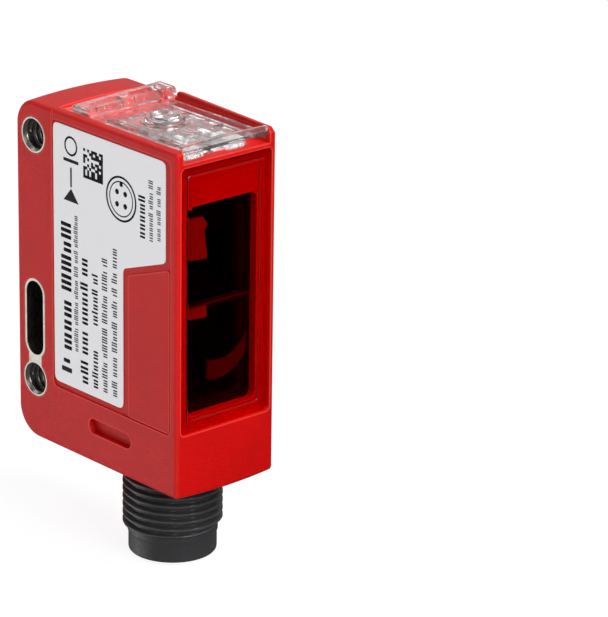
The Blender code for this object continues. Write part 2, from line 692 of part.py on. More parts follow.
def build_indicators(pipe_finish, led_finishes):
    top = INDICATOR_BOARD_Z + INDICATOR_BOARD_THICK + CLEARANCE
    shoulder = 0.2
    for side, color, x in zip(("left", "right"), ("green", "yellow"), PIPE_X):
        led = block((x - 0.8, PIPE_Y - 0.5, top), (x + 0.8, PIPE_Y + 0.5, top + 0.7))
        add_part(f"status_led_{color}", led, led_finishes[color], smooth=False)
        profile = [(0, PIPE_LOW), (PIPE_RADIUS - shoulder, PIPE_LOW), (PIPE_RADIUS, PIPE_LOW + shoulder),
                   (PIPE_RADIUS, PIPE_HIGH - 0.28), (PIPE_RADIUS - shoulder, PIPE_HIGH), (0, PIPE_HIGH)]
        add_part(f"light_pipe_{side}", turned(profile, 24), pipe_finish, (x, PIPE_Y, 0))


def build_switch(body_finish, plunger_finish):
    low = INDICATOR_BOARD_Z + INDICATOR_BOARD_THICK + CLEARANCE
    body = add_part("switch_body",
                    block((PLUG_X - 2.1, BUTTON_Y - 1.6, low), (PLUG_X + 2.1, BUTTON_Y + 1.6, SWITCH_TOP)),
                    body_finish, smooth=False)
    at = (PLUG_X, BUTTON_Y, 0)
    well = circle((0, 0), PLUNGER_RADIUS + 0.1, 20)
    cut(body, "cut_plunger_well", prism(well, "z", SWITCH_TOP - 1, SWITCH_TOP + 1, at=(0, 0, 0)), at)
    add_part("switch_plunger",
             turned([(0, PLUNGER_LOW), (PLUNGER_RADIUS, PLUNGER_LOW), (PLUNGER_RADIUS, PLUNGER_HIGH - 0.13),
                     (PLUNGER_RADIUS - 0.1, PLUNGER_HIGH), (0, PLUNGER_HIGH)], 20),
             plunger_finish, at)


# Top cover and button

def build_cover(finish):
    """Clear cover: a plate between the side walls, a front wall with a lip, a collar and a rear ridge."""
    gap = 2 * CLEARANCE
    low = (SIDE_WALL + gap, COVER_FRONT)
    high = (WIDTH - SIDE_WALL - gap, TROUGH_BACK - gap)
    plate_low = COVER_TOP - COVER_THICK
    plate = rounded_rectangle(low, high, 0.4, 3)
    cover = add_part("top_cover", prism(plate, "z", plate_low, COVER_TOP), finish)
    lip = block((low[0], COVER_FRONT, LEDGE_Z + 0.06), (high[0], COVER_FRONT + 0.6, LIP_TOP))
    join(cover, "front_wall", lip)
    lap_z = HEIGHT + 0.5
    foot_z = plate_low + 0.3
    ridge = [(low[0], foot_z), (high[0], foot_z), (high[0], lap_z), (high[0] + RIDGE_LAP, lap_z),
             (high[0] + RIDGE_LAP, RIDGE_FAR_TOP), (low[0], RIDGE_TOP)]
    join(cover, "rear_ridge", prism(rounded_polygon(ridge, 0.25), "y", RIDGE_FRONT, RIDGE_BACK))
    middle = (PLUG_X, BUTTON_Y)
    join(cover, "button_collar", prism(circle(middle, COLLAR_RADIUS, 40), "z", plate_low + 0.3, COLLAR_TOP))
    cut(cover, "cut_button_hole",
        prism(circle(middle, BUTTON_RADIUS + gap, 32), "z", plate_low - CUT, COVER_TOP + CUT))
    for x in GROOVE_X:
        groove_low = (x - GROOVE_HALF, 2.2, COVER_TOP - GROOVE_HALF)
        groove_high = (x + GROOVE_HALF, RIDGE_FRONT - 1, COVER_TOP + CUT)
        cut(cover, f"cut_groove_{x:.0f}", block(groove_low, groove_high))
    for x in RIDGE_SLOT_X:
        slot = rounded_rectangle((x - RIDGE_SLOT_HALF, 17.9), (x + RIDGE_SLOT_HALF, 19.2), 0.45, 3)
        cut(cover, f"cut_ridge_slot_{x:.0f}", prism(slot, "z", RIDGE_TOP - 0.6, RIDGE_TOP + CUT))


def build_button(finish):
    """Push button: a dished cap in the cover's hole, a flange under the plate and a stem on the switch."""
    flange_top = COVER_TOP - COVER_THICK - CLEARANCE
    flange_low = flange_top - BUTTON_FLANGE
    chamfer = 0.25
    profile = [(0, BUTTON_LOW), (BUTTON_STEM_RADIUS, BUTTON_LOW), (BUTTON_STEM_RADIUS, flange_low),
               (BUTTON_FLANGE_RADIUS, flange_low), (BUTTON_FLANGE_RADIUS, flange_top),
               (BUTTON_RADIUS, flange_top), (BUTTON_RADIUS, BUTTON_TOP - chamfer),
               (BUTTON_RADIUS - chamfer, BUTTON_TOP), (BUTTON_RADIUS - 0.6, BUTTON_TOP),
               (BUTTON_RADIUS - 1.0, BUTTON_TOP - chamfer), (0, BUTTON_TOP - 0.35)]
    add_part("teach_button", turned(profile, 32), finish, (PLUG_X, BUTTON_Y, 0))


def main():
    clear_scene()
    red = material("red_plastic", RED, 0.55)
    window = material("red_window", (0.35, 0.002, 0.002, 1), 0.08, transmission=0.6)
    black = material("black_plastic", BLACK, 0.5)
    clear = material("clear_plastic", (0.9, 0.9, 0.92, 1), 0.05, transmission=1.0)
    frosted = material("frosted_plastic", (0.85, 0.85, 0.87, 1), 0.4, transmission=0.7)
    metal = material("nickel", STEEL, 0.3, metallic=1.0)
    gold = material("gold_plate", GOLD, 0.25, metallic=1.0)
    board = material("board", BOARD_GREEN, 0.4)
    chip = material("chip", CHIP, 0.45)
    rubber = material("rubber", (0.015, 0.015, 0.016, 1), 0.8)
    paper = material("label_paper", (0.68, 0.68, 0.7, 1), 0.5)
    film = material("polariser_film", (0.08, 0.08, 0.09, 1), 0.1)
    flex = material("flex_film", (0.5, 0.25, 0.04, 1), 0.4)
    emitter = material("emitter_resin", (0.7, 0.05, 0.05, 1), 0.15)
    green = material("green_led", (0.05, 0.6, 0.1, 1), 0.3)
    yellow = material("yellow_led", (0.8, 0.55, 0.05, 1), 0.3)
    build_housing(red)
    build_window(window)
    build_carrier(black)
    build_lenses(clear, film)
    build_mounting_metal(metal)
    build_label(paper)
    build_plug(black, black, gold, rubber)
    build_boards(board, chip, metal, flex)
    build_emitter_and_detector(emitter, chip, metal)
    build_indicators(frosted, {"green": green, "yellow": yellow})
    build_switch(black, black)
    build_cover(clear)
    build_button(clear)


main()
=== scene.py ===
import math
import random

import bmesh
import bpy
from mathutils import Matrix, Vector


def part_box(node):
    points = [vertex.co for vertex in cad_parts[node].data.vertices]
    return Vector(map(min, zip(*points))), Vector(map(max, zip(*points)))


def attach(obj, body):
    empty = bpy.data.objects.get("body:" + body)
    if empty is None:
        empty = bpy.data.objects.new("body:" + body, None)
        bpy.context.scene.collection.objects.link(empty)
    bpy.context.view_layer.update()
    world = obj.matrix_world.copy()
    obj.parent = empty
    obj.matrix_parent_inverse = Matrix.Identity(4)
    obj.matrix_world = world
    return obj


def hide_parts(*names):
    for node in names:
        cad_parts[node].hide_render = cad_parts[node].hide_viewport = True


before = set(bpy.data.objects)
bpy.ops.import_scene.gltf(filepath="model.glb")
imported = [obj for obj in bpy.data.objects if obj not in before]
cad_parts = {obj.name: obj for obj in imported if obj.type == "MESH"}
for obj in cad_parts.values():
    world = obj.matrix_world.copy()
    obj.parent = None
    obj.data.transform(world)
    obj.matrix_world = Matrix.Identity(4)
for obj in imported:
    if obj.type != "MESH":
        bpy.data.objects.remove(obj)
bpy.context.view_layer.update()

# Drawing units are millimetres from the housing's corner: x from the label side, y from the lens face,
# z from the bottom edge. CORNER puts them into the frame.

MM = 0.001
CROWN = 0.35
BODY = "sensor_body"
housing_low, housing_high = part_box("housing")
CORNER = Vector((housing_low.x, housing_low.y, housing_low.z + CROWN * MM))


def span(node):
    """A CAD node's lowest and highest corner, in drawing units."""
    low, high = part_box(node)
    return (low - CORNER) / MM, (high - CORNER) / MM


WIDTH = (housing_high.x - housing_low.x) / MM
DEPTH = (housing_high.y - housing_low.y) / MM
HEIGHT = 42.15
REAR_TOP_RADIUS = 3.2
REAR_BOTTOM_RADIUS = 3.6
SIDE_WALL = 1.0
INNER_WALL = 1.5
FLOOR = 2.2
PLUG_AXIS = (7.5, 9.5)
BUTTON_AXIS = (7.5, 11.1)
COVER_TOP = 41.95
RIDGE_TOP = 43.0
RIDGE_FAR_TOP = 43.4
LIP_TOP = 42.8
LENS_X = 7.5
LENS_HEIGHTS = {"receiver": 15.95, "transmitter": 28.65}
PLASTIC_IOR = 1.49
CLEAR_SLOTS = ("clear_plastic", "red_window", "frosted_plastic")
AIM = (7, 12, 20)
WHITE = (1, 1, 1, 1)


# Meshes

def arc(center, radius, start, end, steps):
    angles = [math.radians(start + (end - start) * i / steps) for i in range(steps + 1)]
    return [(center[0] + radius * math.cos(a), center[1] + radius * math.sin(a)) for a in angles]


def circle(center, radius, steps=48):
    return arc(center, radius, 0, 360, steps)[:-1]


def rounded_rectangle(low, high, radius, steps=8):
    (u0, v0), (u1, v1) = low, high
    return (arc((u1 - radius, v0 + radius), radius, -90, 0, steps)
            + arc((u1 - radius, v1 - radius), radius, 0, 90, steps)
            + arc((u0 + radius, v1 - radius), radius, 90, 180, steps)
            + arc((u0 + radius, v0 + radius), radius, 180, 270, steps))


def rounded_polygon(corners, radius, steps=8):
    points = []
    count = len(corners)
    for i, corner in enumerate(corners):
        here = Vector(corner)
        before = (Vector(corners[i - 1]) - here).normalized()
        after = (Vector(corners[(i + 1) % count]) - here).normalized()
        reach = radius / math.tan(before.angle(after) / 2)
        start = here + before * reach
        end = here + after * reach
        for k in range(steps + 1):
            t = k / steps
            points.append(tuple(start.lerp(here, t).lerp(here.lerp(end, t), t)))
    return points


def to_space(axis, point, along):
    u, v = point
    return {"x": (along, u, v), "y": (u, along, v), "z": (u, v, along)}[axis]


def loft(sections, axis, bm=None):
    bm = bm or bmesh.new()
    rings = [[bm.verts.new(to_space(axis, p, along)) for p in outline] for outline, along in sections]
    for lower, upper in zip(rings, rings[1:]):
        for i in range(len(lower)):
            j = (i + 1) % len(lower)
            bm.faces.new((lower[i], lower[j], upper[j], upper[i]))
    bm.faces.new(rings[0])
    bm.faces.new(rings[-1])
    return bm


def prism(outline, axis, low, high, bm=None):
    return loft([(outline, low), (outline, high)], axis, bm)


def slab(low, high, radius, bottom, top, steps=8):
    """A plate with rounded upright corners."""
    return prism(rounded_rectangle(low, high, radius, steps), "z", bottom, top)


def block(low, high, bm=None):
    outline = [(low[0], low[1]), (high[0], low[1]), (high[0], high[1]), (low[0], high[1])]
    return prism(outline, "z", low[2], high[2], bm)


def turned(profile, center, steps=64, axis="z"):
    """Turn a (radius, height) profile round an axis through center; radius may be a function of the angle."""
    bm = bmesh.new()
    rings = []
    for radius, height in profile:
        if callable(radius):
            outline = [(center[0] + radius(a) * math.cos(a), center[1] + radius(a) * math.sin(a))
                       for a in (2 * math.pi * i / steps for i in range(steps))]
        else:
            outline = circle(center, radius, steps) if radius > 0 else [center]
        rings.append([bm.verts.new(to_space(axis, p, height)) for p in outline])
    pairs = list(zip(rings, rings[1:]))
    if len(rings[0]) > 1 and len(rings[-1]) > 1:
        pairs.append((rings[-1], rings[0]))
    for lower, upper in pairs:
        for i in range(steps):
            j = (i + 1) % steps
            corners = [lower[i % len(lower)], lower[j % len(lower)],
                       upper[j % len(upper)], upper[i % len(upper)]]
            bm.faces.new(list(dict.fromkeys(corners)))
    return bm


def thread_rows(low, high, minor, major, pitch, rows_per_pitch=12, hand=1):
    """Rows of a screw thread: each radius follows a rounded 60 degree profile that climbs round the axis."""
    rows = []
    count = round((high - low) / pitch * rows_per_pitch)
    for row in range(count + 1):
        z = low + (high - low) * row / count

        def radius(angle, z=z):
            phase = ((z - low) / pitch - hand * angle / (2 * math.pi)) % 1.0
            ridge = max(0.0, min(1.0, 1.75 - 3.5 * abs(phase - 0.5) * 2 * 0.82))
            turns_in = (z - low) / pitch - angle / (2 * math.pi)
            turns_out = (high - z) / pitch - (1 - angle / (2 * math.pi))
            fade = max(0.0, min(1.0, 2.5 * turns_in, 2.5 * turns_out))
            return minor + (major - minor) * ridge * fade
        rows.append((radius, z))
    return rows


def tool_object(name, bm):
    bmesh.ops.recalc_face_normals(bm, faces=bm.faces)
    bmesh.ops.scale(bm, vec=(MM, MM, MM), verts=bm.verts)
    bmesh.ops.translate(bm, vec=CORNER, verts=bm.verts)
    mesh = bpy.data.meshes.new(name)
    bm.to_mesh(mesh)
    bm.free()
    made = bpy.data.objects.new(name, mesh)
    bpy.context.scene.collection.objects.link(made)
    return made


def carve(base, steps):
    """Apply Boolean steps, each (operation, bmesh), to an object and leave a plain mesh behind."""
    tools = []
    for number, (operation, bm) in enumerate(steps):
        tool = tool_object(f"{base.name}_tool_{number}", bm)
        boolean = base.modifiers.new(f"step_{number}", "BOOLEAN")
        boolean.operation = operation
        boolean.object = tool
        boolean.solver = "EXACT"
        tools.append(tool)
    settle(base)
    for tool in tools:
        bpy.data.objects.remove(tool)


def settle(obj):
    """Replace an object's mesh by what its modifiers make of it."""
    graph = bpy.context.evaluated_depsgraph_get()
    mesh = bpy.data.meshes.new_from_object(obj.evaluated_get(graph))
    obj.modifiers.clear()
    obj.data = mesh


def round_edges(obj, width, segments=3, angle=40):
    bevel = obj.modifiers.new("round_edges", "BEVEL")
    bevel.width = width * MM
    bevel.segments = segments
    bevel.limit_method = "ANGLE"
    bevel.angle_limit = math.radians(angle)
    bevel.miter_outer = "MITER_ARC"
    bevel.use_clamp_overlap = True
    settle(obj)


def finish_piece(obj, look, slot, body=BODY, replaces=(), smooth=35):
    obj.data.materials.clear()
    obj.data.materials.append(look)
    obj.data.shade_smooth()
    if smooth:
        obj.data.set_sharp_from_angle(angle=math.radians(smooth))
    weighted = obj.modifiers.new("face_weighted", "WEIGHTED_NORMAL")
    weighted.keep_sharp = True
    if slot in CLEAR_SLOTS:
        obj.visible_shadow = False
    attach(obj, body)
    if replaces:
        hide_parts(*replaces)
    return obj


def piece(name, bm, look, slot, **more):
    return finish_piece(tool_object(name, bm), look, slot, **more)


# Materials

class Look:
    """A Principled material with short ways to add nodes to it. Coordinates are metres in the frame."""

    def __init__(self, name, color, roughness, metallic=0.0, **sockets):
        self.material = bpy.data.materials.new(name)
        self.material.use_nodes = True
        self.nodes = self.material.node_tree.nodes
        self.links = self.material.node_tree.links
        self.shader = self.nodes["Principled BSDF"]
        self.shader.inputs["Base Color"].default_value = (*color, 1)
        self.shader.inputs["Roughness"].default_value = roughness
        self.shader.inputs["Metallic"].default_value = metallic
        for socket, value in sockets.items():
            self.shader.inputs[socket.replace("_", " ")].default_value = value
        self.place = self.add("ShaderNodeTexCoord").outputs["Object"]
        self.height = None

    def add(self, kind, settings=None, **inputs):
        node = self.nodes.new(kind)
        for key, value in (settings or {}).items():
            setattr(node, key, value)
        for key, value in inputs.items():
            numbered = key[0] == "i" and key[1:].isdigit()
            socket = node.inputs[int(key[1:]) if numbered else key.replace("_", " ")]
            if isinstance(value, bpy.types.NodeSocket):
                self.links.new(value, socket)
            else:
                socket.default_value = value
        return node

    def noise(self, size, detail=3.0, stretch=(1, 1, 1)):
        """Noise with features of about size millimetres."""
        scaled = self.add("ShaderNodeMapping", Vector=self.place, Scale=stretch)
        return self.add("ShaderNodeTexNoise", Vector=scaled.outputs[0], Scale=1 / (size * MM), Detail=detail,
                        Roughness=0.6).outputs["Fac"]

    def remap(self, value, low, high, to_low, to_high):
        limits = {"i1": low, "i2": high, "i3": to_low, "i4": to_high}
        return self.add("ShaderNodeMapRange", None, i0=value, **limits).outputs[0]

    def mix(self, share, first, second):
        node = self.add("ShaderNodeMix", {"data_type": "RGBA"})
        for index, value in ((0, share), (6, first), (7, second)):
            if isinstance(value, bpy.types.NodeSocket):
                self.links.new(value, node.inputs[index])
            else:
                node.inputs[index].default_value = value if index == 0 else (*value, 1)
        return node.outputs[2]

    def edges(self, radius):
        """1 on flat ground, down to about 0.5 on an outer edge, within radius millimetres of it."""
        return self.add("ShaderNodeAmbientOcclusion", {"samples": 6, "inside": True, "only_local": True},
                        Distance=radius * MM).outputs["AO"]

    def bump(self, value, height, strength=1.0):
        """Raise the surface by height millimetres where value is 1."""
        node = self.add("ShaderNodeBump", Strength=strength, Distance=height * MM, Height=value)
        if self.height is not None:
            self.links.new(self.height, node.inputs["Normal"])
        self.height = node.outputs[0]
        self.links.new(self.height, self.shader.inputs["Normal"])

    def color(self, socket):
        self.links.new(socket, self.shader.inputs["Base Color"])

    def roughness(self, socket):
        self.links.new(socket, self.shader.inputs["Roughness"])


def moulded(name, color, roughness, grain=0.14, depth=0.018, edge_wear_and_highlight=None, specular=0.5):
    """Moulded plastic: spark-eroded grain, slight cloudiness, and outer edges painted lighter, partly as
    rubbing wear and partly as a painted highlight.
    """
    look = Look(name, color, roughness, Specular_IOR_Level=specular)
    fine = look.noise(grain, 2.0)
    cloud = look.noise(4.0, 3.0)
    tint = look.remap(cloud, 0.3, 0.7, 0.0, 1.0)
    base = look.mix(tint, tuple(c * 0.93 for c in color), tuple(min(1.0, c * 1.06) for c in color))
    speck = look.remap(fine, 0.58, 0.7, 0.0, 0.6)
    base = look.mix(speck, base, tuple(min(1.0, c * 1.25 + 0.01) for c in color))
    if edge_wear_and_highlight:
        # Outer edges get a lighter colour: partly rubbing wear, partly a painted highlight along the edge.
        edge_wear_and_highlight_mask = look.remap(look.edges(0.22), 0.95, 0.6, 0.0, 1.0)
        base = look.mix(edge_wear_and_highlight_mask, base, edge_wear_and_highlight)
    look.color(base)
    look.roughness(look.remap(fine, 0.3, 0.7, roughness - 0.07, roughness + 0.08))
    look.bump(look.remap(fine, 0.35, 0.65, 0.0, 1.0), depth)
    return look.material


def clear(name, color, roughness, frost=0.0, haze=0.0, waves=0.02):
    """Clear moulded plastic with flow marks; frost roughens it, haze makes it slightly milky."""
    look = Look(name, color, roughness, Transmission_Weight=1.0 - haze, IOR=PLASTIC_IOR)
    flow = look.noise(1.0, 3.0, (1, 0.4, 1))
    look.bump(flow, waves)
    if frost:
        grain = look.noise(0.12, 2.0)
        look.bump(look.remap(grain, 0.35, 0.65, 0.0, 1.0), 0.03)
        look.roughness(look.remap(grain, 0.3, 0.7, roughness, roughness + frost))
    else:
        look.roughness(look.remap(flow, 0.4, 0.7, roughness, roughness + 0.05))
    return look.material


def turned_metal(name, color, roughness, stretch=(14, 1, 1)):
    """Plated metal with fine turning marks and darker spots."""
    look = Look(name, color, roughness, 1.0)
    marks = look.noise(0.9, 4.0, stretch)
    spots = look.noise(0.5, 2.0)
    look.color(look.mix(look.remap(spots, 0.4, 0.7, 0.0, 0.7), color, tuple(c * 0.72 for c in color)))
    look.roughness(look.remap(marks, 0.3, 0.7, roughness - 0.08, roughness + 0.12))
    look.bump(marks, 0.006)
    return look.material


def printed_film(name, color):
    look = Look(name, color, 0.42)
    fibre = look.noise(0.25, 4.0, (1, 1, 2))
    look.color(look.mix(look.remap(fibre, 0.35, 0.65, 0.0, 1.0), tuple(c * 0.97 for c in color), color))
    look.roughness(look.remap(fibre, 0.3, 0.7, 0.36, 0.5))
    look.bump(fibre, 0.003)
    return look.material


def circuit(name, mask, trace):
    """Solder mask over a grid of raised tracks."""
    look = Look(name, mask, 0.35)
    cells = look.add("ShaderNodeTexVoronoi", {"distance": "CHEBYCHEV"}, Vector=look.place, Scale=900.0)
    line = look.remap(cells.outputs["Distance"], 0.42, 0.46, 0.0, 1.0)
    look.color(look.mix(line, mask, trace))
    look.bump(line, 0.03)
    return look.material


looks = {}


def make_looks():
    red = (0.49, 0.001, 0.001)
    # The lighter edge colours given here are partly wear and partly a painted edge highlight.
    looks["red"] = moulded("red_moulded", red, 0.45, edge_wear_and_highlight=(0.72, 0.05, 0.035), specular=0.22)
    black = (0.022, 0.022, 0.024)
    looks["black"] = moulded("black_moulded", black, 0.45, 0.15, 0.012, edge_wear_and_highlight=(0.06, 0.06, 0.062))
    looks["chamber"] = moulded("black_chamber", (0.006, 0.005, 0.005), 0.6, 0.1, 0.008, specular=0.25)
    # The grey tint dims what shows through the cover: painted shade in place of the shadow the clear pieces
    # do not cast.
    looks["clear"] = clear("clear_greyed_painted_shade", (0.84, 0.84, 0.84), 0.02, haze=0.02, waves=0.06)
    looks["frosted"] = clear("frosted_moulded", (0.95, 0.94, 0.94), 0.1, 0.2, 0.3, 0.05)
    looks["lens"] = clear("lens_moulded", (0.98, 0.97, 0.97), 0.01)
    looks["window"] = window_look()
    looks["nickel"] = turned_metal("nickel_turned", (0.33, 0.31, 0.28), 0.28)
    looks["gold"] = turned_metal("gold_turned", (0.83, 0.6, 0.25), 0.22, (1, 1, 12))
    looks["tin"] = turned_metal("tin_plated", (0.62, 0.62, 0.6), 0.3, (1, 6, 1))
    looks["film"] = printed_film("label_film", (0.8, 0.8, 0.82))
    looks["ink"] = moulded("printed_ink", (0.006, 0.006, 0.007), 0.5, 0.1, 0.002, specular=0.08)
    looks["inner"] = moulded("inner_grey_moulded", (0.2, 0.2, 0.2), 0.5, 0.1, 0.01)
    looks["inner_dark"] = moulded("inner_dark_moulded", (0.05, 0.05, 0.05), 0.4, 0.1, 0.01)
    looks["rubber"] = moulded("rubber_moulded", (0.02, 0.02, 0.02), 0.75, 0.2, 0.01)
    looks["board"] = circuit("board_mask", (0.02, 0.12, 0.05), (0.05, 0.22, 0.1))
    # Indicator board: dark mask with bright tracks, contrast raised so it shows through the cover as white
    # streaks, a painted reflection over a real board pattern.
    looks["board_painted_streaks"] = circuit("white_board_mask", (0.13, 0.125, 0.125), (0.85, 0.84, 0.83))
    looks["chip"] = moulded("chip_resin", (0.03, 0.03, 0.033), 0.5, 0.08, 0.006)
    looks["polariser"] = clear("polariser_sheet", (0.35, 0.33, 0.34), 0.05)
    looks["flex"] = printed_film("flex_polyimide", (0.5, 0.24, 0.04))
    looks["emitter"] = clear("emitter_resin", (0.9, 0.15, 0.1), 0.1)
    looks["green"] = clear("green_resin", (0.2, 0.8, 0.3), 0.15)
    looks["yellow"] = clear("yellow_resin", (0.95, 0.7, 0.15), 0.15)


def window_look():
    """Polished red plastic that lets light through."""
    look = Look("window_red", (0.5, 0.002, 0.001), 0.04, Transmission_Weight=1.0, IOR=PLASTIC_IOR)
    flow = look.noise(6.0, 2.0)
    look.bump(flow, 0.01)
    look.roughness(look.remap(flow, 0.3, 0.7, 0.02, 0.07))
    return look.material


# Camera, light and floor

def add_light(name, place, size, power):
    """A square soft box at a place in drawing units, aimed at the sensor."""
    data = bpy.data.lights.new(name, "AREA")
    data.shape = "RECTANGLE"
    data.size = data.size_y = size * MM
    data.energy = power
    made = bpy.data.objects.new(name, data)
    made.location = CORNER + Vector(place) * MM
    aim = (Vector(AIM) - Vector(place)).normalized()
    made.rotation_mode = "QUATERNION"
    made.rotation_quaternion = aim.to_track_quat("-Z", "Y")
    bpy.context.scene.collection.objects.link(made)


def make_camera():
    data = bpy.data.cameras.new("camera")
    data.lens = 227.8
    data.sensor_width = 36
    data.clip_start, data.clip_end = 0.01, 20
    made = bpy.data.objects.new("camera", data)
    made.location = CORNER + Vector((-269.6, -319.6, 176.5)) * MM
    azimuth, elevation, roll = (math.radians(a) for a in (-42.14, 20.05, 0.85))
    turn = (Matrix.Rotation(azimuth, 4, "Z") @ Matrix.Rotation(math.pi / 2 - elevation, 4, "X")
            @ Matrix.Rotation(roll, 4, "Z"))
    made.rotation_mode = "QUATERNION"
    made.rotation_quaternion = turn.to_quaternion()
    bpy.context.scene.collection.objects.link(made)
    bpy.context.scene.camera = made


def add_card(name, place, size, strength, target=AIM):
    """A white reflector for glossy and clear surfaces; at strength 0, a black flag for all bounced light."""
    bm = bmesh.new()
    half = size / 2
    corners = ((-half, -half), (half, -half), (half, half), (-half, half))
    bm.faces.new([bm.verts.new((x, y, 0)) for x, y in corners])
    aim = (Vector(target) - Vector(place)).normalized()
    turn = aim.to_track_quat("Z", "Y").to_matrix().to_4x4()
    bmesh.ops.transform(bm, matrix=Matrix.Translation(Vector(place)) @ turn, verts=bm.verts)
    card = tool_object(name, bm)
    glow = bpy.data.materials.new(name)
    glow.use_nodes = True
    shader = glow.node_tree.nodes["Principled BSDF"]
    shader.inputs["Base Color"].default_value = (0, 0, 0, 1)
    shader.inputs["Emission Color"].default_value = WHITE
    shader.inputs["Emission Strength"].default_value = strength
    shader.inputs["Specular IOR Level"].default_value = 0.0
    glow.cycles.emission_sampling = "NONE"
    card.data.materials.append(glow)
    card.visible_camera = False
    card.visible_diffuse = strength == 0.0
    card.visible_shadow = False


def make_stage():
    scene = bpy.context.scene
    scene.view_settings.view_transform = "Standard"
    world = bpy.data.worlds.new("studio")
    scene.world = world
    world.use_nodes = True
    nodes, links = world.node_tree.nodes, world.node_tree.links
    background = nodes["Background"]
    background.inputs["Color"].default_value = WHITE
    path = nodes.new("ShaderNodeLightPath")
    strength = nodes.new("ShaderNodeMapRange")
    strength.inputs["To Min"].default_value = 0.15
    strength.inputs["To Max"].default_value = 1.05
    links.new(path.outputs["Is Camera Ray"], strength.inputs[0])
    links.new(strength.outputs[0], background.inputs["Strength"])

    floor_z = span("connector_shell")[0].z - 0.4
    floor = tool_object("floor", slab((-1500, -1500), (1500, 1500), 200, floor_z - 5, floor_z))
    look = Look("floor_paper", (0.15, 0.15, 0.15), 0.9, Specular_IOR_Level=0.0,
                Emission_Color=WHITE, Emission_Strength=0.9)
    look.material.cycles.emission_sampling = "NONE"
    floor.data.materials.append(look.material)
    floor.visible_glossy = False

    add_light("top", (0, 10, 470), 260, 0.45)
    add_light("key", (180, -270, 390), 150, 1.2)
    add_light("front", (-45, -440, 230), 260, 2.05)
    add_light("rear_left", (-190, 330, 340), 240, 0.25)
    add_light("left", (-420, -130, 220), 260, 0.25)
    add_card("side_card", (-330, 370, -120), 420, 2.3)
    add_card("rear_card", (330, 370, 190), 330, 0.8)
    add_card("sky_card", (40, 260, 330), 170, 5.0)
    add_card("floor_flag", (150, -150, floor_z + 0.3), 300, 0.0, target=(150, -150, 100))


# Pieces

def make_housing():
    side = ([(0, 0)]
            + arc((DEPTH - REAR_BOTTOM_RADIUS, REAR_BOTTOM_RADIUS), REAR_BOTTOM_RADIUS, -90, 0, 20)
            + arc((DEPTH - REAR_TOP_RADIUS, HEIGHT - REAR_TOP_RADIUS), REAR_TOP_RADIUS, 0, 90, 20)
            + [(0, HEIGHT)])
    spans = 20
    sections = []
    for i in range(spans + 1):
        across = 2 * i / spans - 1
        rise = CROWN * (1 - across ** 2)
        sections.append(([(y, z + rise * (2 * z / HEIGHT - 1)) for y, z in side], WIDTH * i / spans))
    housing = tool_object("housing_shell", loft(sections, "x"))
    round_edges(housing, 0.5, 6, 50)

    window_low, window_high = span("front_window")
    gap = 0.07
    rebate = rounded_rectangle((window_low.x - gap, window_low.z - gap),
                               (window_high.x + gap, window_high.z + gap), 0.6)
    pocket = rounded_rectangle((1.1, 7.65), (22.7, 41.0), 0.7)
    ledge = span("top_cover")[0].z - 0.06
    above = HEIGHT + 4
    recess = rounded_rectangle((8.25, 3.7), (16.05, 5.6), 0.92, 10)
    sleeve_low, sleeve_high = span("upper_sleeve")
    hole = ((sleeve_low.y + sleeve_high.y) / 2, (sleeve_low.z + sleeve_high.z) / 2)
    carve(housing, [
        ("DIFFERENCE", block((SIDE_WALL, -2, ledge), (WIDTH - SIDE_WALL, 22.4, above))),
        ("UNION", wall_rim()),
        ("DIFFERENCE", block((INNER_WALL, 2.2, FLOOR), (WIDTH - INNER_WALL, 21.5, 38.6))),
        ("DIFFERENCE", block((INNER_WALL, 3.4, 38.5), (WIDTH - INNER_WALL, 17.0, ledge + 1))),
        ("DIFFERENCE", block((2.6, 1.6, 38.5), (11.9, 3.5, ledge + 1))),
        ("DIFFERENCE", prism(rebate, "y", -2, window_high.y + 0.1)),
        ("DIFFERENCE", prism(rounded_rectangle((2.3, 9.5), (12.7, 35.1), 1.0), "y", 0, 3.2)),
        ("DIFFERENCE", prism(pocket, "x", -2, 0.2)),
        ("UNION", prism(panel_outline(), "x", 0.02, 1.2)),
        ("DIFFERENCE", prism(recess, "x", -2, 0.8)),
        ("DIFFERENCE", prism(recess, "x", WIDTH - 0.8, WIDTH + 2)),
        ("DIFFERENCE", block((-2, 22.6, 40.6), (0.12, 22.75, above))),
        ("DIFFERENCE", prism(circle(hole, 2.25, 64), "x", -2, WIDTH + 2)),
        ("DIFFERENCE", prism(insert_outline(0.05), "x", -2, WIDTH + 2)),
        ("DIFFERENCE", prism(circle(PLUG_AXIS, 5.45, 64), "z", -2, 4)),
    ])
    round_edges(housing, 0.07, 2, 40)
    finish_piece(housing, looks["red"], "red_plastic", replaces=["housing"])


def wall_rim():
    """Rim along the plain side wall: rounded outside and rising towards the rear."""
    inner, outer, base = WIDTH - SIDE_WALL + 0.03, WIDTH - 0.03, HEIGHT - 1
    front, back, front_top, rise, radius = 0.3, 16.7, 42.6, 0.45, 0.8
    ends = ((front, 0.35), (0.45, 0.14), (0.6, 0.0), (16.1, 0.0), (16.4, 0.06), (16.6, 0.22), (back, 0.45))
    sections = []
    for y, drop in ends:
        top = front_top + rise * (y - front) / (back - front) - drop
        corner = arc((outer - radius, top - radius), radius, 0, 80, 8)
        sections.append(([(inner, base), (outer, base)] + corner + [(inner, top)], y))
    return loft(sections, "y")


def panel_outline():
    low, back, top, slope = 1.3, 8.75, 25.35, 0.35
    corners = [(low, 7.85), (back, 7.85), (back, top), (low, top + slope * (back - low))]
    return rounded_polygon(corners, 0.5)


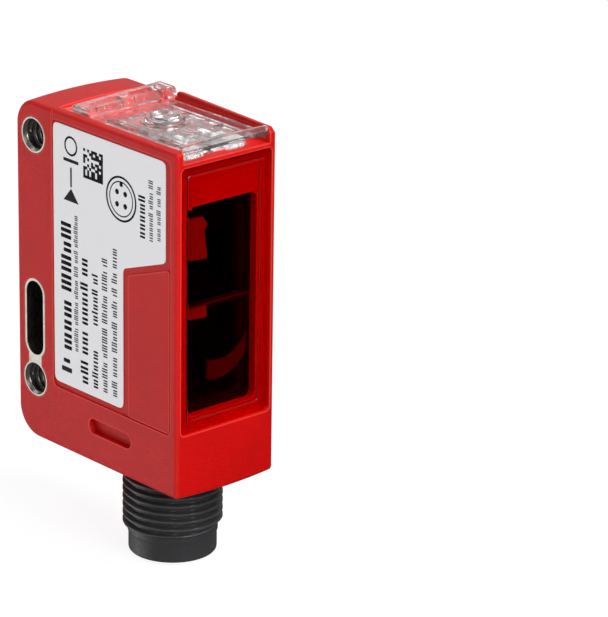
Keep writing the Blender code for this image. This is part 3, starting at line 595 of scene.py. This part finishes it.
def insert_outline(grow=0.0):
    low, high = span("slotted_insert")
    center = (low.y + high.y) / 2
    ring = (high.y - low.y) / 2
    slot = 1.9 + grow
    hole_z = low.z + ring
    slot_low, slot_high = hole_z + 4.65, hole_z + 10.85
    ring += grow
    web = 1.2 + grow
    ring_angle = math.degrees(math.acos(web / ring))
    slot_angle = math.degrees(math.acos(web / slot))
    return (arc((center, hole_z), ring, 180 - ring_angle, 360 + ring_angle, 48)
            + arc((center, slot_low), slot, -slot_angle, 0, 12)
            + arc((center, slot_high), slot, 0, 180, 32)
            + arc((center, slot_low), slot, 180, 180 + slot_angle, 12))


def threaded_bore(center, pitch=0.7, minor=1.64, major=1.93, mouth=1.98):
    """Cutter for an M4 hole through the width, with a cone at each mouth."""
    start, end = 0.45, WIDTH - 0.45
    rows = thread_rows(start, end, minor, major, pitch, 8)
    profile = [(0, -0.5), (mouth + 0.5, -0.5), (mouth, 0.0), (minor + 0.05, start - 0.1)]
    profile += rows
    profile += [(minor + 0.05, end + 0.1), (mouth, WIDTH), (mouth + 0.5, WIDTH + 0.5), (0, WIDTH + 0.5)]
    return turned(profile, center, 48, "x")


def make_mounting_metal():
    low, high = span("upper_sleeve")
    upper = ((low.y + high.y) / 2, (low.z + high.z) / 2)
    sleeve = tool_object("threaded_sleeve", prism(circle(upper, (high.y - low.y) / 2, 72), "x", 0, WIDTH))
    carve(sleeve, [("DIFFERENCE", threaded_bore(upper))])
    round_edges(sleeve, 0.06, 2, 50)
    finish_piece(sleeve, looks["nickel"], "nickel", replaces=["upper_sleeve"])

    low, high = span("slotted_insert")
    lower = ((low.y + high.y) / 2, low.z + (high.y - low.y) / 2)
    insert = tool_object("threaded_insert", prism(insert_outline(), "x", 0, WIDTH))
    slot = rounded_rectangle((lower[0] - 1.55, lower[1] + 3.1), (lower[0] + 1.55, lower[1] + 12.4), 1.549, 16)
    carve(insert, [("DIFFERENCE", threaded_bore(lower)), ("DIFFERENCE", prism(slot, "x", -2, WIDTH + 2))])
    round_edges(insert, 0.06, 2, 50)
    finish_piece(insert, looks["nickel"], "nickel", replaces=["slotted_insert"])


def make_window():
    low, high = span("front_window")
    bead = low.y
    front = bead + 0.2

    def ring(step):
        return rounded_rectangle((low.x + step, low.z + step), (high.x - step, high.z - step),
                                 max(0.6 - step, 0.3))

    steps = [(0.0, high.y), (0.0, front + 0.08), (0.03, front + 0.02), (0.1, front), (0.9, front)]
    for i in range(1, 9):
        angle = math.pi * i / 8
        steps.append((0.9 + 0.4 * (1 - math.cos(angle)), front - (front - bead) * math.sin(angle)))
    window = tool_object("window_pane", loft([(ring(step), y) for step, y in steps], "y"))
    finish_piece(window, looks["window"], "red_window", replaces=["front_window"])


def make_lenses():
    for name, z in LENS_HEIGHTS.items():
        low, high = span(f"{name}_lens")
        edge_y = high.y - 1.7
        half = ((high.x - low.x) / 2, (high.z - low.z) / 2)

        def outline(size):
            return rounded_rectangle((LENS_X - half[0] * size, z - half[1] * size),
                                     (LENS_X + half[0] * size, z + half[1] * size), 0.95 * size)

        sections = [(outline(1.0), high.y), (outline(1.0), edge_y)]
        for i in range(1, 19):
            angle = math.radians(87 * i / 18)
            sections.append((outline(math.cos(angle)), edge_y - (edge_y - low.y) * math.sin(angle)))
        lens = tool_object(f"{name}_dome", loft(sections, "y"))
        finish_piece(lens, looks["lens"], "clear_plastic", replaces=[f"{name}_lens"])


def make_plug():
    """Plug shell with an M12 x 1 thread, contact block with coding rib, and four pins."""
    bore, nose = 4.3, 5.3
    bottom = span("connector_shell")[0].z
    rows = thread_rows(-8.35, 0.1, 5.42, 5.99, 1.0, 14, -1)
    profile = [(bore, bottom + 0.15), (bore + 0.15, bottom), (nose - 0.3, bottom),
               (nose - 0.12, bottom + 0.06), (nose - 0.03, bottom + 0.17), (nose, bottom + 0.35),
               (nose, -8.75), (nose + 0.03, -8.65)]
    profile += rows
    profile += [(5.4, 0.2), (5.4, 3.05), (5.85, 3.05), (5.85, 4.0), (bore, 4.0)]
    shell = tool_object("plug_shell", turned(profile, PLUG_AXIS, 144))
    finish_piece(shell, looks["black"], "black_plastic", replaces=["connector_shell"])

    face = -3.6
    disc = [(0, face + 0.12), (0.6, face), (bore - 0.25, face), (bore - 0.05, face + 0.2),
            (bore - 0.05, 3.6), (0, 3.6)]
    carrier = tool_object("contact_block", turned(disc, PLUG_AXIS, 96))
    center = Vector(PLUG_AXIS)
    rib = [(center.x + x, center.y + y) for x, y in rounded_rectangle((-0.55, -4.18), (0.55, -3.2), 0.25, 6)]
    steps = [("UNION", prism(rib, "z", -9.6, face + 0.5))]
    funnel = [(0, face - 0.4), (0.95, face - 0.4), (0.55, face + 0.25), (0, face + 0.25)]
    for place in pin_places():
        steps.append(("DIFFERENCE", prism(circle(place, 0.55, 32), "z", face - 1, 4.6)))
        steps.append(("DIFFERENCE", turned(funnel, place, 32)))
    carve(carrier, steps)
    finish_piece(carrier, looks["black"], "black_plastic", replaces=["contact_carrier"])

    for number, place in enumerate(pin_places(), 1):
        tip = span(f"contact_pin_{number}")[0].z
        profile = [(0, tip)]
        profile += [(0.5 * math.sin(math.radians(a)), tip + 0.6 * (1 - math.cos(math.radians(a))))
                    for a in range(12, 91, 13)]
        profile += [(0.5, 4.4), (0.3, 4.4), (0.3, 5.4), (0, 5.4)]
        pin = tool_object(f"pin_{number}", turned(profile, place, 32))
        finish_piece(pin, looks["gold"], "gold_plate", replaces=[f"contact_pin_{number}"])


def pin_places():
    return [(PLUG_AXIS[0] + 2.5 * math.cos(a), PLUG_AXIS[1] + 2.5 * math.sin(a))
            for a in (math.radians(45 + 90 * i) for i in range(4))]


def cover_lip(low, high):
    """Upright strip along the front of the cover, with its top bowed up in the middle."""
    bow, spans = 0.12, 16
    front, back = low.y, low.y + 0.6
    sections = []
    for i in range(spans + 1):
        across = 2 * i / spans - 1
        top = LIP_TOP - bow * across ** 2
        outline = [(front, 41.72), (back, 41.6), (back, top - 0.1), (back - 0.15, top), (front + 0.1, top),
                   (front, top - 0.1)]
        sections.append((outline, low.x + (high.x - low.x) * i / spans))
    return loft(sections, "x")


def cover_feet(bottom):
    """Two feet under the lip, each with upright ribs on its front."""
    rib_pitch, front = 0.62, 0.75
    steps = []
    for x0, x1 in ((1.35, 4.55), (8.25, 10.75)):
        steps.append(("UNION", slab((x0, front), (x1, 3.0), 0.3, bottom + 0.05, 41.8, 5)))
        for i in range(int((x1 - x0) / rib_pitch)):
            rib = circle((x0 + 0.45 + rib_pitch * i, front), 0.2, 16)
            steps.append(("UNION", prism(rib, "z", bottom + 0.15, 41.5)))
    return steps


def cover_relief(plate_low):
    """Square ribs under the plate."""
    ribs = []
    for x0, x1, y0, y1 in ((1.6, 13.4, 15.4, 15.8), (1.6, 5.4, 13.2, 13.6), (4.2, 4.6, 4.6, 16.0),
                           (10.4, 10.8, 4.6, 16.0), (1.6, 4.4, 7.2, 7.6), (10.6, 13.4, 8.6, 9.0)):
        ribs.append(block((x0, y0, plate_low - 0.3), (x1, y1, plate_low + 0.2)))
    return ribs


def cover_facets(plate_low):
    """V ribs under the plate, first across (x) and then along (y)."""
    base = plate_low + 0.1
    steps = []
    for x0, x1, y in ((1.8, 4.2, 15.0), (1.8, 4.2, 13.9), (5.2, 9.6, 15.1), (1.8, 4.2, 11.2), (1.8, 4.2, 9.4),
                      (1.8, 4.2, 6.0), (5.4, 9.6, 5.2), (10.8, 13.2, 12.4), (10.8, 13.2, 6.4)):
        steps.append(prism([(y - 0.35, base), (y + 0.35, base), (y, plate_low - 0.35)], "x", x0, x1))
    for x, y0, y1 in ((9.3, 4.2, 7.4), (10.9, 9.6, 15.6), (12.2, 4.0, 15.0), (5.5, 4.2, 7.0),
                      (3.1, 4.0, 8.0)):
        steps.append(prism([(x - 0.3, base), (x, plate_low - 0.3), (x + 0.3, base)], "y", y0, y1))
    return steps


def make_cover():
    """Clear cover: plate, lip, collar round the button, rear ridge, rails, feet and moulded relief."""
    low, high = span("top_cover")
    high.x = WIDTH - SIDE_WALL - 0.1
    plate_low, above = COVER_TOP - 0.8, COVER_TOP + 2
    cover = tool_object("cover_plate", slab((low.x, low.y), (high.x, high.y), 0.4, plate_low, COVER_TOP))

    foot, lap_z, lap = plate_low + 0.3, HEIGHT + 0.5, high.x + 0.6
    outline = rounded_polygon([(low.x, foot), (high.x, foot), (high.x, lap_z), (lap, lap_z),
                               (lap, RIDGE_FAR_TOP), (low.x, RIDGE_TOP)], 0.3)
    ridge = prism(outline, "y", 16.9, 20.1)
    slope_foot, slope_top = COVER_TOP + 0.15, RIDGE_FAR_TOP + 0.3
    slope = prism([(16.5, slope_foot), (16.8, slope_foot), (17.9, slope_top), (16.5, slope_top)],
                  "x", low.x - 1, lap + 1)
    collar = [(0, foot), (2.9, foot), (2.9, 42.05), (2.75, 42.15), (2.5, 42.12), (0, 42.1)]

    steps = [("UNION", cover_lip(low, high)), ("UNION", ridge), ("UNION", turned(collar, BUTTON_AXIS, 96))]
    for x in (3.35, 11.65):
        rail = slab((x - 0.2, 2.0), (x + 0.2, 17.0), 0.15, COVER_TOP - 0.2, COVER_TOP + 0.22, 4)
        steps.append(("UNION", rail))
    steps.append(("DIFFERENCE", prism(circle(BUTTON_AXIS, 2.4, 96), "z", plate_low - 2, above)))
    for x in (2.45, 12.55):
        steps.append(("DIFFERENCE", slab((x - 0.4, 2.2), (x + 0.4, 15.9), 0.3, COVER_TOP - 0.4, above, 5)))
    for x in (4.9, 10.6):
        slot = slab((x - 2.1, 17.8), (x + 2.1, 19.3), 0.35, RIDGE_TOP - 0.9, RIDGE_TOP + 2, 5)
        steps.append(("DIFFERENCE", slot))
    steps.append(("DIFFERENCE", block((low.x + 0.15, 0, plate_low - 1), (high.x - 0.15, 3.3, 41.68))))
    steps += cover_feet(low.z)
    steps += [("UNION", rib) for rib in cover_relief(plate_low)]
    steps.append(("DIFFERENCE", block((low.x + 0.8, 20.5, COVER_TOP - 0.35), (high.x - 0.8, 21.7, above))))
    steps.append(("DIFFERENCE", slope))
    steps += [("UNION", facet) for facet in cover_facets(plate_low)]
    carve(cover, steps)
    round_edges(cover, 0.06, 2, 40)
    finish_piece(cover, looks["clear"], "clear_plastic", replaces=["top_cover"])


def make_button():
    low, high = span("teach_button")
    top = high.z
    profile = [(0, low.z), (0.7, low.z), (0.7, 40.65), (2.8, 40.65), (2.8, 41.1), (2.3, 41.1),
               (2.3, top - 0.5), (2.2, top - 0.4), (1.8, top - 0.35)]
    profile += [(1.8 - 0.35 * (1 - math.cos(math.radians(a))), top - 0.35 + 0.35 * math.sin(math.radians(a)))
                for a in range(15, 91, 15)]
    profile += [(1.3, top - 0.02), (1.15, top - 0.1), (0.95, top - 0.22), (0.7, top - 0.25), (0, top - 0.2)]
    button = tool_object("button_cap", turned(profile, BUTTON_AXIS, 96))
    finish_piece(button, looks["clear"], "clear_plastic", body="button", replaces=["teach_button"])


def make_pipes():
    """Light pipes: blocks with a narrower foot and upright ribs on the front."""
    for side, x in (("left", 3.7), ("right", 9.9)):
        low, high = span(f"light_pipe_{side}")
        half, y0, y1 = 0.95, low.y, high.y
        pipe = tool_object(f"pipe_{side}", slab((x - half, y0 + 0.2), (x + half, y1), 0.3,
                                                low.z + 0.6, high.z))
        steps = [("UNION", slab((x - half + 0.3, y0 + 0.5), (x + half - 0.5, y1 - 0.3), 0.3,
                                low.z, low.z + 0.9))]
        for i in range(3):
            rib_x = x - half + 0.35 + 0.62 * i
            rib = prism(circle((rib_x, y0 + 0.25), 0.2, 16), "z", low.z + 0.7, high.z - 0.05)
            steps.append(("UNION", rib))
        carve(pipe, steps)
        round_edges(pipe, 0.05, 2, 45)
        finish_piece(pipe, looks["frosted"], "frosted_plastic", replaces=[f"light_pipe_{side}"])


def make_optics():
    """Parts seen through the window: bracket, holder, divider rib and curved flange."""
    front = 2.35
    bracket = [(1.9, 33.25), (5.6, 33.05), (6.35, 31.95), (5.8, 31.45), (6.3, 27.9), (1.9, 28.3)]
    holder = [(1.9, 22.25), (6.2, 22.25), (6.2, 20.7), (1.9, 21.1)]
    for name, outline in (("optics_bracket", bracket), ("optics_holder", holder)):
        plate = tool_object(name, prism(rounded_polygon(outline, 0.25), "y", front, front + 0.35))
        finish_piece(plate, looks["inner"], "black_plastic")
    rib = tool_object("optics_rib", block((2.4, front - 0.1, 22.28), (12.6, front + 0.3, 22.48)))
    finish_piece(rib, looks["inner_dark"], "black_plastic")
    outer = arc((8.0, 17.6), 4.9, -110, 0, 30)
    inner = arc((8.3, 19.2), 4.3, -25, -115, 30)
    flange = tool_object("optics_flange", prism(outer + inner, "y", front + 0.05, front + 0.3))
    finish_piece(flange, looks["inner_dark"], "black_plastic")


# Label print

def printed(name, shapes):
    """Ink raised a little over the label; shapes are outlines as (y, z) points."""
    front = span("label")[0].x
    bm = bmesh.new()
    for outline in shapes:
        prism(outline, "x", front - 0.012, front + 0.01, bm)
    ink = tool_object(name, bm)
    finish_piece(ink, looks["ink"], "label_film", smooth=0)


def bar(center, size):
    (y, z), (height, length) = center, size
    return rounded_rectangle((y - height / 2, z - length / 2), (y + height / 2, z + length / 2),
                             0.2 * min(height, length), 2)


def word_row(y, start, end, height, seed, weight=0.17):
    """A row of upright strokes grouped like words, running up the label."""
    rng = random.Random(seed)
    shapes = []
    z = start
    while z < end - height:
        for letter in range(rng.randint(2, 7)):
            strokes = rng.choice((1, 2, 2, 2, 3))
            tall = height * rng.choice((1.0, 0.74, 0.74))
            if z + strokes * height * (weight + 0.14) > end:
                break
            for stroke in range(strokes):
                center = (y - (height - tall) / 2, z + height * weight / 2)
                shapes.append(bar(center, (tall, height * weight)))
                z += height * (weight + 0.14)
            z += height * 0.1
        z += height * 0.45
    return shapes


def ring_shape(center, outer, inner, steps=40):
    """A flat ring split into segments, so that each is a simple outline."""
    shapes = []
    for i in range(steps):
        a0, a1 = 360 * i / steps, 360 * (i + 1) / steps
        shapes.append(arc(center, outer, a0, a1, 1) + arc(center, inner, a1, a0, 1))
    return shapes


def make_print():
    """Generic print: rows of strokes, a plug face, a beam sign and a random square pattern."""
    shapes = []
    shapes += word_row(20.2, 13.0, 30.5, 1.9, 3, 0.25)
    shapes += [bar((20.2, 10.4), (1.9, 0.6)), bar((20.2, 11.5), (1.2, 0.5))]
    shapes += word_row(18.4, 13.2, 31.0, 0.75, 5)
    shapes += word_row(16.9, 9.6, 25.5, 1.4, 8, 0.24)
    shapes += word_row(14.9, 9.6, 15.5, 1.1, 9, 0.22)
    shapes += word_row(14.9, 17.5, 24.5, 1.1, 10, 0.22)
    shapes += word_row(13.1, 9.6, 26.5, 1.0, 12)
    shapes += word_row(11.3, 9.6, 28.5, 1.0, 14)
    shapes += word_row(6.3, 30.6, 36.2, 1.2, 17, 0.22)
    shapes += word_row(4.7, 30.6, 38.6, 0.8, 19)
    shapes += word_row(3.3, 31.0, 37.6, 0.75, 21)
    printed("label_rows", shapes)

    plug = (10.0, 34.3)
    shapes = ring_shape(plug, 2.75, 2.5) + ring_shape(plug, 2.15, 2.0)
    for i in range(4):
        angle = math.radians(45 + 90 * i)
        shapes.append(circle((plug[0] + 1.05 * math.cos(angle), plug[1] + 1.05 * math.sin(angle)), 0.33, 20))
    shapes.append(bar((plug[0], plug[1] + 1.75), (0.55, 0.5)))
    beam = 19.2
    shapes += [[(beam - 1.4, 31.6), (beam + 1.4, 31.6), (beam, 33.2)], bar((beam, 34.6), (0.28, 2.4)),
               bar((beam, 36.6), (2.8, 0.4))]
    shapes += ring_shape((beam, 38.4), 1.2, 0.95)
    printed("label_pictograms", shapes)

    rng = random.Random(7)
    cell, count, corner = 0.36, 10, (13.3, 35.2)
    shapes = []
    for row in range(count):
        for column in range(count):
            edge = (row == 0 or column == 0 or (row == count - 1 and column % 2)
                    or (column == count - 1 and row % 2))
            if edge or rng.random() < 0.48:
                y, z = corner[0] + row * cell, corner[1] + column * cell
                shapes.append([(y, z), (y + cell, z), (y + cell, z + cell), (y, z + cell)])
    printed("label_code", shapes)


# Electronics under the clear cover

def make_board_parts():
    """Small chips with tinned ends, and a long dark part at the front, on the indicator board."""
    low, high = span("indicator_board")
    top = high.z
    rng = random.Random(11)
    parts = bmesh.new()
    ends = bmesh.new()
    places = [(3.4, 6.6), (3.4, 8.4), (3.4, 13.4), (3.4, 15.2), (11.6, 6.4), (11.6, 8.6), (11.6, 13.6),
              (11.6, 15.4), (5.6, 15.6), (9.4, 15.6), (7.5, 6.2), (5.4, 6.2), (9.6, 6.2)]
    for x, y in places:
        tall = rng.choice((0.45, 0.55))
        block((x - 0.35, y - 0.32, top + 0.03), (x + 0.35, y + 0.32, top + tall), parts)
        for middle in (x - 0.52, x + 0.52):
            block((middle - 0.17, y - 0.34, top + 0.02), (middle + 0.17, y + 0.34, top + tall + 0.03), ends)
    block((4.7, low.y + 0.1, top + 0.03), (8.0, low.y + 1.2, top + 0.8), parts)
    piece("board_parts", parts, looks["chip"], "chip", smooth=0)
    piece("board_part_ends", ends, looks["tin"], "nickel", smooth=0)


def give_cad_looks():
    """Materials for the CAD nodes that are shown as they are."""
    by_look = {
        "chamber": ["optics_carrier"],
        "polariser": ["transmitter_polariser", "receiver_polariser"],
        "black": ["switch_body", "switch_plunger"],
        "nickel": ["receiver_shield", "crystal_can", "filter_capacitor"],
        "film": ["label"],
        "rubber": ["connector_seal"],
        "board": ["main_board"],
        "board_painted_streaks": ["indicator_board"],
        "chip": ["signal_chip", "regulator_chip", "receiver_photodiode", "board_link"],
        "flex": ["connector_flex"],
        "emitter": ["transmitter_led"],
        "green": ["status_led_green"],
        "yellow": ["status_led_yellow"],
    }
    for look, names in by_look.items():
        for name in names:
            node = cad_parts[name]
            node.data.materials.clear()
            node.data.materials.append(looks[look])


make_looks()
make_camera()
make_stage()
give_cad_looks()
make_housing()
make_mounting_metal()
make_window()
make_lenses()
make_plug()
make_cover()
make_button()
make_pipes()
make_optics()
make_print()
make_board_parts()
